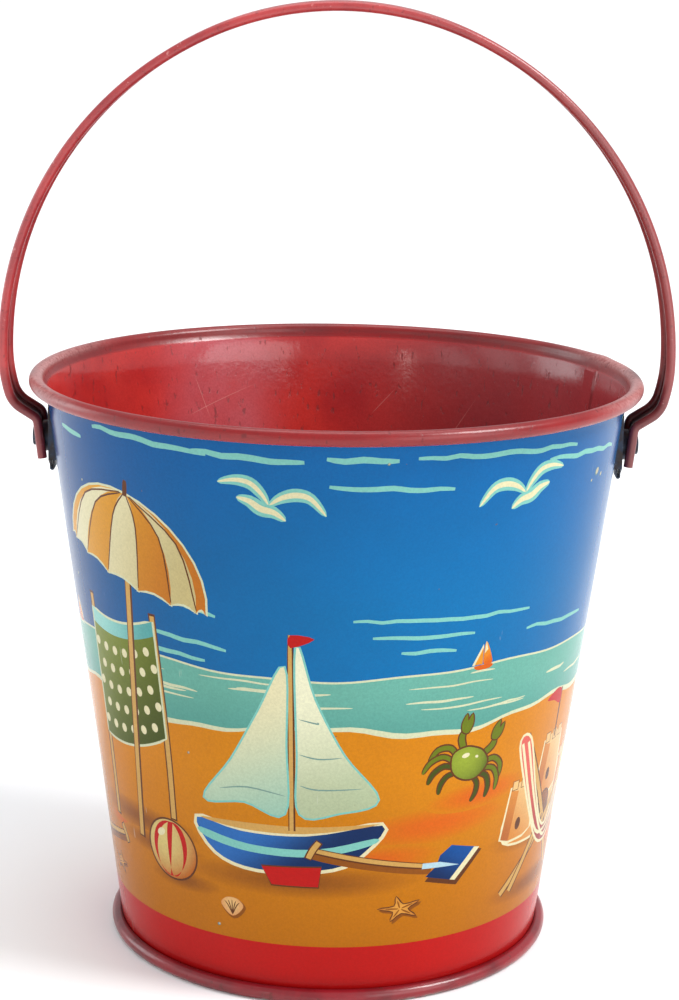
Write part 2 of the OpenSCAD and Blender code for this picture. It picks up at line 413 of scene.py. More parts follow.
def turned(point, degrees):
    """The point turned anticlockwise about the origin."""
    a = math.radians(degrees)
    x, y = point
    return (x * math.cos(a) - y * math.sin(a), x * math.sin(a) + y * math.cos(a))


def smooth(points, steps=4, closed=True):
    """Catmull-Rom curve through the points."""
    n = len(points)
    spans = n if closed else n - 1
    out = []
    for i in range(spans):
        near = [points[(i + k) % n] if closed else points[min(max(i + k, 0), n - 1)] for k in (-1, 0, 1, 2)]
        for s in range(steps):
            t = s / steps
            weights = (-t + 2 * t**2 - t**3, 2 - 5 * t**2 + 3 * t**3, t + 4 * t**2 - 3 * t**3, t**3 - t**2)
            out.append(tuple(sum(w * p[axis] for w, p in zip(weights, near)) / 2 for axis in (0, 1)))
    return out if closed else out + [points[-1]]


def stroke(points, width, ends=(0.15, 0.15), steps=4):
    """Outline of a brush stroke along a curve; ends give the share of the width at its start and finish."""
    line = smooth(points, steps, closed=False)
    left, right = [], []
    for i, (x, y) in enumerate(line):
        ahead, behind = line[min(i + 1, len(line) - 1)], line[max(i - 1, 0)]
        along = Vector((ahead[0] - behind[0], ahead[1] - behind[1])).normalized()
        t = i / (len(line) - 1)
        swell = math.sin(math.pi * t) ** 0.6
        half = width / 2 * (swell + (1 - swell) * (ends[0] * (1 - t) + ends[1] * t))
        left.append((x - along.y * half, y + along.x * half))
        right.append((x + along.y * half, y - along.x * half))
    return left + right[::-1]


def oval(x, y, rx, ry, turn=0.0, steps=28):
    """An oval round a place, turned by some degrees."""
    angles = [2 * math.pi * i / steps for i in range(steps)]
    ring = [turned((rx * math.cos(a), ry * math.sin(a)), turn) for a in angles]
    return [(x + px, y + py) for px, py in ring]


def grown(outline, margin):
    """The outline pushed outwards by a margin, for the line round a figure."""
    area = sum(a[0] * b[1] - b[0] * a[1] for a, b in zip(outline, outline[1:] + outline[:1]))
    side = margin if area > 0 else -margin
    out = []
    for i, (x, y) in enumerate(outline):
        (ax, ay), (bx, by) = outline[i - 1], outline[(i + 1) % len(outline)]
        along = Vector((bx - ax, by - ay))
        along = along.normalized() if along.length > 1e-9 else Vector((1, 0))
        out.append((x + along.y * side, y - along.x * side))
    return out


def blend(a, b, t):
    """The colour a share t of the way from a to b."""
    t = min(max(t, 0.0), 1.0)
    return tuple(p + (q - p) * t for p, q in zip(a, b))


def shade(first, second, start, end):
    """Airbrushed change from the first colour at start to the second at end."""
    run = Vector((end[0] - start[0], end[1] - start[1]))

    def colour(x, y):
        t = (Vector((x - start[0], y - start[1])) @ run) / run.length_squared
        return blend(first, second, t * t * (3 - 2 * t) if 0 < t < 1 else t)
    return colour


def round_shade(light, dark, centre, radius):
    """Airbrushed change from light at the centre to dark at the radius."""
    def colour(x, y):
        t = math.hypot(x - centre[0], y - centre[1]) / radius
        return blend(light, dark, t * t)
    return colour


# Inks of the print
SKY = paint(0, 107, 167)
SKY_HIGH = paint(0, 98, 164)
# Painted shade: the sky's ink is blended towards this darker blue on the side away from the light
SKY_SHADED = paint(2, 66, 124)
CYAN = paint(126, 192, 180)
SEA = paint(104, 168, 152)
SEA_DEEP = paint(88, 154, 142)
FOAM = paint(208, 208, 172)
CREAM = paint(226, 214, 172)
SAND = paint(208, 126, 4)
SAND_LOW = paint(184, 106, 2)
SAND_DEEP = paint(212, 92, 12)
SHADOW = paint(140, 76, 14)
OUTLINE = paint(96, 50, 20)
OLIVE = paint(104, 116, 16)
OLIVE_DARK = paint(66, 76, 14)
RED = paint(188, 16, 12)
RED_DEEP = paint(150, 10, 14)
PEACH = paint(226, 180, 118)
TAN = paint(208, 130, 50)
BLUE = paint(10, 74, 144)
NAVY = paint(8, 40, 88)
GOLD = paint(218, 150, 30)
WOOD = paint(204, 156, 84)


def sand_ink(z):
    """Sand, browner towards the red band."""
    return blend(SAND_LOW, SAND, (z - 16) / 42)


def sky_ink_and_shade(azimuth, z):
    """Blue, a little darker high up, and deepest opposite its lightest place at the right of the front: that
    darkening round the wall is painted shade.
    """
    # Painted shade: the sky is printed darker the further round the wall it lies from the lit right of the
    # front
    side = 0.5 - 0.5 * math.cos(math.radians(azimuth - 24))
    return blend(blend(SKY, SKY_HIGH, (z - 100) / 34), SKY_SHADED, side * 1.7)


class Print:
    """Shapes laid one over another on the unrolled wall."""

    def __init__(self):
        self.shapes = []

    def flat(self, outline, colour):
        """A shape in (azimuth, height), in one colour or in an ink that depends on the place."""
        self.shapes.append((outline, colour if callable(colour) else (lambda azimuth, z: colour)))

    def airbrush(self, azimuth, height, half_width, half_height, ink, ground, lean=0.0):
        """A soft oval that fades into the ground colour, which depends on height.

        Rings inside it give its colour points to change at.
        """
        reach = math.degrees(half_width / wall_radius(height))

        def colour(a, z):
            x, y = turned((math.radians(a - azimuth) * wall_radius(height), z - height), -lean)
            t = min((x / half_width) ** 2 + (y / half_height) ** 2, 1.0)
            return blend(ink, ground(z), t ** 0.8)
        for share in (1.0, 0.78, 0.55, 0.3):
            ring = oval(0, 0, half_width * share, half_height * share, lean, 30)
            self.flat([(azimuth + x / half_width * reach, height + y) for x, y in ring], colour)

    def at(self, azimuth, height, scale=1.0, mirrored=False):
        """A drawer for shapes in millimetres round a place on the wall."""
        side = -1 if mirrored else 1

        def draw(outline, colour):
            def out(x, y):
                """From the drawing to the wall."""
                z = height + y * scale
                return azimuth + math.degrees(side * x * scale / wall_radius(z)), z

            def back(a, z):
                """From the wall to the drawing."""
                return math.radians(a - azimuth) * wall_radius(z) * side / scale, (z - height) / scale
            ink = (lambda a, z: colour(*back(a, z))) if callable(colour) else (lambda a, z: colour)
            self.shapes.append(([out(x, y) for x, y in outline], ink))
        return draw


# ---------------------------------------------------------------- the scene that is printed

# Windblown patches of deeper sand: azimuth, height, length, rise
DRIFTS = (
    (24, 45, 44, 3.2), (10, 37, 34, 2.6), (36, 51, 30, 2.4), (-58, 36, 26, 2.2), (78, 30, 26, 2.4),
    (150, 44, 40, 3.0), (196, 34, 36, 2.6), (-120, 48, 40, 3.0), (-96, 28, 26, 2.0), (-150, 24, 24, 2.0),
)

# Cloud and haze strokes in the sky: azimuth from, to, height at each end, thickness
CLOUDS = (
    (-52, -24, 136.6, 135.0, 1.1), (-27, -5.5, 135.4, 134.4, 1.2), (-1.5, 11.5, 135.4, 134.6, 1.2),
    (15, 52, 135.6, 134.2, 1.0), (44, 70, 132.0, 130.2, 1.0), (-1, 22.5, 128.8, 128.0, 1.0),
    (-66, -57, 134.0, 133.0, 1.0), (-37, -24, 99.5, 96.6, 0.9), (-42, -22, 90.8, 88.6, 0.9),
    (-52, -27, 86.8, 85.2, 0.9), (4, 44, 97.2, 96.4, 0.8), (8, 30, 93.0, 92.8, 0.8),
    (14, 26, 89.4, 88.8, 0.8), (44, 66, 91.2, 90.0, 0.8), (78, 104, 134.6, 133.6, 1.1),
    (84, 100, 122, 121, 0.9), (82, 106, 95, 94, 0.9), (-110, -84, 135.6, 134.2, 1.1),
    (-100, -80, 127, 126, 1.0), (-130, -104, 131, 130, 1.0), (-118, -92, 97, 95.6, 0.9),
    (-140, -122, 91, 90, 0.8), (-170, -142, 135.4, 134.0, 1.1), (-200, -176, 134.6, 133.4, 1.1),
    (-196, -160, 97, 95, 0.9), (-184, -172, 91, 90, 0.8), (-240, -208, 135.4, 134.0, 1.1),
    (-236, -216, 128, 127, 1.0), (-232, -204, 98, 96, 0.9),
)

# Gulls: azimuth, height, scale, mirrored
GULLS = (
    (-11.5, 125.2, 1.0, False), (38, 126.0, 1.0, True), (92, 112, 0.8, False), (-88, 114, 0.9, True),
    (-150, 122, 1.0, False), (-186, 116, 0.8, True), (-228, 118, 0.9, False),
)

# Sailboats on the horizon: azimuth, scale, mirrored
SAILBOATS = ((33, 1.0, False), (86, 0.8, True), (-74, 0.9, True), (-168, 1.2, False), (-136, 0.8, True))

# Chips in the print down to dull tin: azimuth, height, half width
CHIPS = (
    (62.6, 125.2, 0.9), (65.0, 124.0, 0.5), (60.4, 123.4, 0.35), (9.6, 134.2, 0.3), (-59, 122, 0.3),
    (-70, 96, 0.4), (-33, 61, 0.25), (122, 131, 0.8), (119, 127, 0.4), (170, 108, 0.3), (-128, 119, 0.5),
    (-104, 64, 0.4), (80, 18, 0.5), (-28, 17.5, 0.35), (146, 20, 0.6), (-146, 16.5, 0.5),
)


def draw_ground(page, rng):
    """Sky, sea, foam, sand and the plain red band, all the way round."""
    start, stop = SEAM_AZIMUTH - 360, SEAM_AZIMUTH

    def shore(level, wave, pitch, phase, count=120):
        """A wavy line round the wall, from seam to seam."""
        out = []
        for i in range(count + 1):
            turn = math.radians(360 * i / count)
            ripple = 0.3 * wave * math.sin(turn * (pitch * 3 + 2) + phase)
            out.append((start + 360 * i / count, level + wave * math.sin(turn * pitch + phase) + ripple))
        return out

    def below(top):
        """All that lies between a line and the foot of the print."""
        return [(start, PRINT_LOW)] + top + [(stop, PRINT_LOW)]
    page.flat(below([(start, PRINT_HIGH), (stop, PRINT_HIGH)]), sky_ink_and_shade)
    page.flat(below(shore(83.6, 0.8, 4, 0.4)), FOAM)
    page.flat(below(shore(83.1, 0.8, 4, 0.4)), lambda a, z: blend(SEA, SEA_DEEP, (79 - z) / 9))
    page.flat(below(shore(70.2, 1.3, 6, 1.0)), FOAM)
    page.flat(below(shore(69.1, 1.4, 6, 1.2)), lambda a, z: sand_ink(z))
    for _ in range(34):
        azimuth = start + 12 + 336 * rng.random()
        z = 71.4 + 10.2 * rng.random()
        length = rng.uniform(6, 26)
        route = [(x * length / 4 - length / 2, rng.uniform(-0.25, 0.25)) for x in range(5)]
        page.at(azimuth, z)(stroke(route, rng.uniform(0.4, 0.85)), FOAM)
    for azimuth, z, length, rise in DRIFTS:
        page.airbrush(azimuth, z, length / 2, rise * 1.5, SAND_DEEP, sand_ink, 4)
    page.flat(below([(start, 14.6), (stop, 14.6)]), lambda a, z: blend(RED_DEEP, RED, (z - 2) / 5))


def draw_clouds(page, rng):
    """Loose pale strokes with a slightly unsteady hand."""
    for first, last, z0, z1, thick in CLOUDS:
        length = math.radians(last - first) * wall_radius((z0 + z1) / 2)
        count = max(5, int(length / 3))
        route = []
        for i in range(count):
            t = i / (count - 1)
            route.append((length * (t - 0.5), (z1 - z0) * (t - 0.5) + rng.uniform(-0.34, 0.34)))
        page.at((first + last) / 2, (z0 + z1) / 2)(stroke(route, thick * 1.25, (0.55, 0.55), 2), CYAN)


def draw_gull(page, azimuth, z, scale=1.0, mirrored=False):
    """A gull of three strokes, each with a blue-green edge."""
    draw = page.at(azimuth, z, scale, mirrored)
    far_wing = [(-12.6, 3.6), (-8.6, 4.4), (-5.0, 3.9), (-2.4, 1.6), (-0.8, -0.9)]
    near_wing = [(-0.6, -0.9), (2.2, 0.9), (5.6, 1.7), (8.8, 0.8), (12.0, -3.0)]
    body = [(-8.2, 0.4), (-5.2, -0.3), (-2.6, -1.9), (0.4, -2.6), (3.0, -4.4)]
    for route, width in ((far_wing, 2.2), (near_wing, 2.4), (body, 2.7)):
        draw(stroke(route, width + 0.7, (0.1, 0.1)), CYAN)
    for route, width in ((far_wing, 1.1), (near_wing, 1.3), (body, 1.5)):
        draw(stroke(route, width, (0.05, 0.05)), CREAM)


def draw_sailboat(page, azimuth, z, scale=1.0, mirrored=False):
    """A small boat far out: z is the waterline."""
    draw = page.at(azimuth, z, scale, mirrored)
    orange = paint(226, 142, 34)
    main = smooth([(0.1, 0.9), (-0.2, 3.4), (0.2, 6.6), (1.7, 3.8), (2.4, 1.0)], 3)
    draw(main, shade(orange, SAND_DEEP, (0, 5), (2, 1)))
    draw([(-2.6, 1.0), (-0.4, 5.6), (-0.3, 1.0)], orange)
    draw([(-3.2, 0.9), (-0.5, 6.0), (-0.4, 5.2), (-2.5, 0.9)], CREAM)
    draw([(0.0, 3.6), (0.2, 6.6), (0.9, 4.6)], CREAM)
    draw(smooth([(-2.4, 0.7), (2.5, 0.8), (1.8, -0.2), (-1.6, -0.3)], 3), SAND_DEEP)
    draw(stroke([(-3.4, -0.8), (0, -0.6), (3.6, -0.8)], 0.5), FOAM)


def draw_crab(page, azimuth, z, scale=1.0, tilt=0.0):
    """A green crab from above: four legs, an arm and a claw on each side."""
    draw = page.at(azimuth, z, scale)

    def limb(points, width, colour):
        for x_side in (-1, 1):
            route = [turned((x * x_side, y), tilt) for x, y in points]
            draw(stroke(route, width + 0.7, (0.8, 0.3)), OUTLINE)
            draw(stroke(route, width, (0.8, 0.3)), colour)
    limb([(3.0, 0.6), (5.6, 2.2), (8.2, 1.2), (9.0, -1.6)], 1.0, OLIVE)
    limb([(3.2, -0.4), (6.4, 0.2), (8.6, -1.6), (9.2, -4.2)], 0.9, OLIVE)
    limb([(2.8, -1.4), (5.4, -1.6), (7.0, -3.6), (7.2, -6.0)], 0.9, OLIVE_DARK)
    limb([(2.0, -2.2), (3.8, -3.4), (4.4, -5.4), (4.0, -7.4)], 0.8, OLIVE_DARK)
    limb([(2.0, 2.0), (4.0, 4.4), (4.2, 6.4)], 1.3, OLIVE)
    for x_side in (-1, 1):
        claw = [(3.2, 6.0), (2.9, 8.0), (3.9, 9.9), (4.3, 8.3), (5.1, 9.6), (5.4, 7.6), (4.6, 6.0)]
        claw = [turned((x * x_side, y), tilt) for x, y in smooth(claw, 3)]
        draw(grown(claw, 0.3), OUTLINE)
        draw(claw, OLIVE)
    shell = [(-4.4, 1.0), (-2.4, 3.0), (0, 3.4), (2.4, 3.0), (4.4, 1.0), (3.0, -2.2), (0, -3.2), (-3.0, -2.2)]
    shell = [turned(p, tilt) for p in smooth(shell)]
    draw(grown(shell, 0.4), OUTLINE)
    draw(shell, round_shade(paint(146, 160, 48), OLIVE_DARK, (-1.0, 1.2), 6.5))
    draw([turned(p, tilt) for p in oval(-1.5, 1.5, 0.9, 0.5, 30, 14)], CREAM)
    draw([turned(p, tilt) for p in oval(1.2, 1.8, 0.4, 0.3, 0, 10)], CREAM)


def draw_starfish(page, azimuth, z, scale=1.0, tilt=0.0):
    """A five-armed starfish, foreshortened as it lies on the sand."""
    draw = page.at(azimuth, z, scale)
    flatness = 0.62
    arms = [turned((0, (5.4, 1.9)[i % 2]), tilt + 36 * i) for i in range(10)]
    star = [(x, y * flatness) for x, y in smooth(arms, 3)]
    draw([(x + 0.5, y - 0.6) for x, y in grown(star, 0.3)], SHADOW)
    draw(grown(star, 0.3), OUTLINE)
    draw(star, round_shade(paint(218, 150, 60), paint(176, 96, 30), (0, 0), 5))
    for i in range(5):
        arm = [turned((0, 3.6 * t), tilt + 72 * i) for t in (0.1, 0.5, 1.0)]
        draw(stroke([(x, y * flatness) for x, y in arm], 0.4), SHADOW)


def draw_spade(page, azimuth, z, scale=1.0, mirrored=False):
    """A child's spade that lies on the sand, blade to the right."""
    draw = page.at(azimuth, z, scale, mirrored)
    draw(stroke([(-27, 4.8), (-14, 2.2), (4, -1.2)], 2.6, (0.8, 0.8)), SHADOW)
    draw(stroke([(-27, 6.2), (-14, 3.4), (3, 0.2)], 1.9, (0.9, 0.9)), OUTLINE)
    draw(stroke([(-27, 6.3), (-14, 3.5), (3, 0.3)], 1.2, (0.9, 0.9)), WOOD)
    draw(stroke([(-28.4, 3.8), (-27.2, 6.4), (-25.6, 8.8)], 2.2, (0.9, 0.9)), OUTLINE)
    draw(stroke([(-28.2, 4.0), (-27.2, 6.4), (-25.8, 8.6)], 1.5, (0.9, 0.9)), WOOD)
    blade = [(6.4, 2.8), (9.6, 5.2), (18.6, 2.8), (11.4, -5.2), (2.6, -2.8), (5.4, -0.2)]
    draw([(x + 0.3, y - 0.9) for x, y in grown(blade, 0.6)], OUTLINE)
    draw(blade, shade(BLUE, NAVY, (12, 4), (7, -4)))
    draw([(18.6, 2.8), (11.4, -5.2), (9.8, -4.8), (16.8, 3.2)], CREAM)
    draw([(1.6, 1.2), (6.6, 0.9), (12.4, -0.9), (6.0, -0.6), (1.4, -0.4)], paint(176, 204, 214))


def draw_ball(page, azimuth, z, radius, colours):
    """A beach ball: three narrow gores of the mark's colour on a shaded ground."""
    draw = page.at(azimuth, z)
    light, dark, mark = colours
    page.airbrush(azimuth + radius * 0.4, z - radius * 0.95, radius * 1.5, radius * 0.36, SHADOW, sand_ink)
    draw(oval(0, 0, radius + 0.5, radius + 0.5, 0, 40), OUTLINE)
    ground = round_shade(light, dark, (-radius * 0.35, radius * 0.4), radius * 1.5)
    draw(oval(0, 0, radius, radius, 0, 40), ground)
    pole, side = radius * 0.96, 0.16 * radius
    angles = [math.pi * i / 16 for i in range(17)]
    for bulge in (-0.75, 0.0, 0.75):
        near = [(pole * math.sin(t) * bulge * 0.9 + side * math.cos(t), pole * math.cos(t)) for t in angles]
        back = [(pole * math.sin(t) * bulge * 0.9 - side * math.sin(t), pole * math.cos(t)) for t in angles]
        draw(near + back[::-1][1:-1], mark)
    draw(oval(-radius * 0.4, radius * 0.5, radius * 0.2, radius * 0.12, 35, 16), CREAM)


def draw_windbreak(page, azimuth, z, scale=1.0, mirrored=False):
    """A dotted canvas screen on two stakes: z is the sand at its foot."""
    draw = page.at(azimuth, z, scale, mirrored)
    page.airbrush(azimuth, z + 3, 22, 4, SHADOW, sand_ink)
    for x, low in ((-12, 0), (13, 6)):
        draw(stroke([(x, low), (x + 0.8, 26), (x + 0.6, 58)], 2.2, (1, 1)), OUTLINE)
        draw(stroke([(x, low + 0.4), (x + 0.8, 26), (x + 0.6, 57.4)], 1.4, (1, 1)), WOOD)

    def span(t, low, high):
        """Across the canvas, t is -1 to 1; it sags between its stakes."""
        return (0.8 + 12.6 * t, low + (high - low) * (t + 1) / 2 - 2.2 * (1 - t * t))
    ts = [i / 6 - 1 for i in range(13)]
    cloth = [span(t, 22, 27) for t in ts] + [span(t, 54, 56) for t in reversed(ts)]
    draw(grown(cloth, 0.6), FOAM)
    draw(cloth, shade(paint(122, 132, 34), OLIVE_DARK, (-10, 50), (14, 26)))
    for row in range(5):
        for column in range(6):
            t = (column + 0.5 * (row % 2)) / 3 - 0.92
            if abs(t) < 0.93:
                x, y = span(t, 26 + row * 5.0, 30.5 + row * 4.7)
                draw(oval(x, y, 1.05, 1.15, 0, 12), CREAM)
    hem = [span(t, 50.4, 52.4) for t in ts] + [span(t, 54, 56) for t in reversed(ts)]
    draw(hem, shade(paint(150, 206, 196), paint(84, 160, 158), (-10, 52), (14, 54)))


def draw_parasol(page, azimuth, z, scale, colours, mirrored=False):
    """A beach parasol: z is the height of the pole's foot."""
    draw = page.at(azimuth, z, scale, mirrored)
    light, dark, plain = colours
    page.airbrush(azimuth + 7, z - 0.5, 17, 3.0, SHADOW, sand_ink)
    draw(stroke([(0, 0), (3.0, 30), (8.0, 78)], 2.4, (1, 1)), OUTLINE)
    draw(stroke([(-0.2, 0.4), (2.8, 30), (7.8, 78)], 1.5, (1, 1)), WOOD)
    tip, lean, half, rise = (9.4, 88.0), -12, 25.0, 21.0
    sections = 7

    def rib(share, t):
        """A point on a rib: share is -1 to 1 across the canopy, t is 0 at the tip and 1 at the hem."""
        x = half * share * math.sin(t * math.pi / 2)
        y = -rise * (1 - math.cos(t * math.pi / 2)) - 1.5 * (1 - share * share) * t
        dx, dy = turned((x, y), lean)
        return tip[0] + dx, tip[1] + dy
    shares = [math.sin(math.radians(-90 + 180 * i / sections)) for i in range(sections + 1)]
    steps = [i / 8 for i in range(9)]
    panels = []
    for first, second in zip(shares, shares[1:]):
        hem_a, hem_b = rib(first, 1), rib(second, 1)
        sag = ((hem_a[0] + hem_b[0]) / 2 + 0.3, (hem_a[1] + hem_b[1]) / 2 + 1.3)
        hem = [tuple((1 - t)**2 * p + 2 * t * (1 - t) * (2 * s - (p + q) / 2) + t * t * q
                     for p, s, q in zip(hem_a, sag, hem_b))
               for t in (0.25, 0.5, 0.75)]
        panels.append([rib(first, t) for t in steps] + hem + [rib(second, t) for t in reversed(steps[1:])])
    for panel in panels:
        draw(grown(panel, 0.55), FOAM)
    for i, panel in enumerate(panels):
        first, second = (plain, paint(196, 176, 120)) if i % 2 else (light, dark)
        draw(panel, shade(first, second, (tip[0] - 14, tip[1]), (tip[0] + 22, tip[1] - 16)))
    for share in shares[1:-1]:
        draw(stroke([rib(share, t) for t in (0.05, 0.5, 0.98)], 0.45, (0.6, 0.6)), OUTLINE)
    draw(stroke([(tip[0], tip[1] - 0.5), (tip[0] + 0.7, tip[1] + 3.4)], 1.5, (1, 0.6)), OUTLINE)


def draw_castle(page, azimuth, z, scale=1.0, flag=RED, mirrored=False):
    """A sandcastle turned out of buckets: z is the height of its foot."""
    draw = page.at(azimuth, z, scale, mirrored)

    def tower(x, y, low, top, tall):
        """A tapered tower: half widths at its foot and top, and its height."""
        crest = y + tall
        foot = [(x + low, y), (x + low * 0.5, y - 1.1), (x - low * 0.5, y - 1.1)]
        body = [(x - low, y), (x - top, crest), (x + top, crest)] + foot
        draw(grown(body, 0.7), CREAM)
        draw(body, shade(PEACH, TAN, (x - top * 0.7, crest), (x + low, y + 2)))
        dark_side = [(x + top * 0.35, crest), (x + top, crest)] + foot[:2]
        draw(dark_side, shade(TAN, paint(176, 96, 40), (x, crest), (x + low, y)))
        draw(oval(x, crest, top, top * 0.24), PEACH)
        for share in (-0.72, 0.0, 0.72):
            left, right = x + top * share - top * 0.2, x + top * share + top * 0.2
            low_edge, high_edge = crest - 0.5, crest + top * 0.36
            merlon = [(left, low_edge), (left, high_edge), (right, high_edge), (right, low_edge)]
            draw(grown(merlon, 0.3), OUTLINE)
            draw(merlon, PEACH)
    page.airbrush(azimuth + 3, z - 0.8, 27, 4.4, SHADOW, sand_ink)
    wall = smooth([(-18, -0.5), (-17, 11), (0, 12.5), (17, 11), (19, -0.5), (0, -2.6)], 5)
    draw(grown(wall, 0.7), CREAM)
    draw(wall, shade(PEACH, TAN, (-10, 10), (16, -2)))
    tower(0, 9, 7.4, 5.8, 15)
    tower(-13.5, 1, 6.6, 5.2, 15)
    tower(14, 0.5, 6.6, 5.2, 14)
    angles = [math.pi - math.pi * i / 8 for i in range(9)]
    gate = [(-3.4, -1.8)] + [(3.4 * math.cos(a), 5 + 3.6 * math.sin(a)) for a in angles] + [(3.4, -1.8)]
    draw(grown(gate, 0.5), OUTLINE)
    draw(gate, shade(SHADOW, OUTLINE, (0, 8), (0, 0)))
    for x, y in ((-13.5, 5), (0.5, 13.5), (14, 3.5)):
        draw(oval(x, y, 1.2, 1.8, 0, 12), OUTLINE)
    draw(stroke([(0, 24), (0.2, 38)], 0.8, (1, 1)), OUTLINE)
    draw(smooth([(0.4, 37.6), (4, 38.4), (8.8, 36.4), (4.6, 35.4), (0.4, 33.6)], 3), flag)


def draw_toy_yacht(page, azimuth, z, scale=1.0, mirrored=False):
    """A toy yacht propped on the sand: blue hull and cream sails."""
    draw = page.at(azimuth, z, scale, mirrored)
    page.airbrush(azimuth + 4, z - 1.4, 31, 4.4, SHADOW, sand_ink)
    hull = [(-22, 12), (-10, 10.6), (6, 10.8), (24, 13.6), (20, 7.0), (12, 2.4), (-6, 1.0), (-17, 4.0)]
    hull = smooth(hull, 4)
    draw(grown(hull, 0.9), CREAM)
    draw(hull, shade(paint(44, 104, 176), NAVY, (-6, 12), (2, 1)))
    strake = [(-21, 9.6), (-8, 7.4), (8, 7.4), (22, 10.2), (21.2, 8.4), (8, 5.4), (-8, 5.4), (-19.6, 7.4)]
    draw(smooth(strake, 4), CYAN)
    draw(smooth([(-21, 12.4), (-10, 11.2), (6, 11.4), (23.6, 14.0), (6, 13.2), (-10, 13.0)], 4), WOOD)
    keel = [(-5, 2.0), (-2.6, -2.6), (8.6, -2.6), (9.4, 2.6)]
    draw(grown(keel, 0.4), OUTLINE)
    draw(keel, RED)
    draw(stroke([(2.6, 12), (2.8, 36), (3.0, 62)], 1.7, (1, 0.7)), OUTLINE)
    draw(stroke([(2.5, 12), (2.7, 36), (2.9, 62)], 1.0, (1, 0.7)), WOOD)
    main = smooth([(4.4, 59), (8.4, 46), (15.0, 32), (23.0, 20.4), (14, 17.2), (4.6, 16.6), (4.3, 32)], 5)
    jib = smooth([(1.4, 54), (-5.0, 42), (-12.0, 29), (-19.6, 17.8), (-9, 18.6), (0.8, 16.4), (1.4, 34)], 5)
    canvases = ((main, paint(236, 230, 196), paint(176, 186, 150)), (jib, CREAM, paint(150, 190, 170)))
    for sail, light, dark in canvases:
        draw(grown(sail, 0.5), CYAN)
        draw(sail, shade(light, dark, (2, 50), (14, 16)))
    seam = paint(120, 150, 140)
    for height in (24, 32, 41):
        leech = 19.5 - (height - 24) * 0.62
        draw(stroke([(4.6, height), (9, height - 1.0), (leech, height - 0.6)], 0.4), seam)
    draw(stroke([(-15.4, 21), (-8, 22.4), (1.2, 21)], 0.4), seam)
    draw(smooth([(3.0, 62), (8.6, 61.2), (3.0, 58.8)], 3), RED)


def draw_deck_chair(page, azimuth, z, scale=1.0, mirrored=False):
    """A folding canvas chair seen from its side: z is the ground."""
    draw = page.at(azimuth, z, scale, mirrored)
    page.airbrush(azimuth + 2, z - 0.4, 22, 3.4, SHADOW, sand_ink)
    rails = (((-14, 0), (14, 46)), ((15, 0), (-13, 24)), ((-2, 19), (11, 0)))
    upper = [(12.4, 44.6), (6.0, 29.5), (-1.4, 16.6), (-7.6, 14.4), (-13.4, 22.2)]
    lower = [(-17.0, 21.2), (-10.8, 10.6), (-1.6, 11.4), (7.4, 24.0), (16.4, 43.4)]
    canvas = smooth(upper + lower, 5)
    for first, last in rails:
        rail = [first, ((first[0] + last[0]) / 2, (first[1] + last[1]) / 2), last]
        draw(stroke(rail, 2.6, (1, 1)), OUTLINE)
        draw(stroke(rail, 1.7, (1, 1)), WOOD)
    draw(grown(canvas, 0.8), CREAM)
    draw(canvas, shade(paint(214, 92, 82), RED_DEEP, (8, 40), (-8, 12)))
    for side in (-1.3, 1.3):
        stripe = [(14.4 + side, 44), (7.0 + side, 27), (-1.2 + side, 14.2)]
        stripe += [(-8.6, 12.4 + side), (-15, 21.6 + side)]
        draw(stroke(stripe, 1.0, (1, 1)), CREAM)


def draw_toy_bucket(page, azimuth, z, scale=1.0, colour=BLUE):
    """A small bucket full of sand: z is its foot."""
    draw = page.at(azimuth, z, scale)
    page.airbrush(azimuth + 2.5, z - 0.3, 10, 2.2, SHADOW, sand_ink)
    handle = [(-6.2, 11), (-5.0, 17), (0, 19.4), (5.0, 17), (6.2, 11)]
    draw(stroke(handle, 1.1, (1, 1)), OUTLINE)
    body = [(-6.6, 12), (-4.6, 0), (-2.4, -0.9), (2.4, -0.9), (4.6, 0), (6.6, 12)]
    draw(grown(body, 0.6), CREAM)
    draw(body, shade(colour, NAVY, (-4, 8), (7, 2)))
    draw([(-6.0, 8.6), (-5.6, 6.0), (5.6, 6.0), (6.0, 8.6)], CYAN)
    draw(oval(0, 12, 6.7, 1.7), CREAM)
    draw(oval(0, 11.8, 5.7, 1.1), paint(150, 96, 40))


def draw_lighthouse(page, azimuth, z, scale=1.0):
    """A banded lighthouse on a headland: z is the waterline."""
    draw = page.at(azimuth, z, scale)
    land = [(-34, -0.6), (-22, 4.4), (-8, 8.6), (6, 9.8), (16, 6.4), (30, 2.6), (40, -0.6), (0, -1.6)]
    land = smooth(land, 5)
    draw(grown(land, 0.5), CYAN)
    draw(land, shade(paint(120, 142, 60), OLIVE_DARK, (-4, 9), (10, -3)))
    levels, foot, tall = 6, 8, 22
    coats = (shade(RED, RED_DEEP, (-2, 0), (4, 0)), shade(CREAM, paint(176, 176, 140), (-2, 0), (4, 0)))
    for i in range(levels):
        low, high = i / levels, (i + 1) / levels
        a, b = 3.6 - 1.4 * low, 3.6 - 1.4 * high
        bottom, top = foot + tall * low, foot + tall * high
        draw([(-a, bottom), (-b, top), (b, top), (a, bottom)], coats[i % 2])
    draw([(-3.0, 30), (-3.0, 31.2), (3.0, 31.2), (3.0, 30)], OUTLINE)
    draw([(-1.7, 31.2), (-1.7, 34.6), (1.7, 34.6), (1.7, 31.2)], GOLD)
    draw([(-2.4, 34.6), (0, 37.8), (2.4, 34.6)], RED)


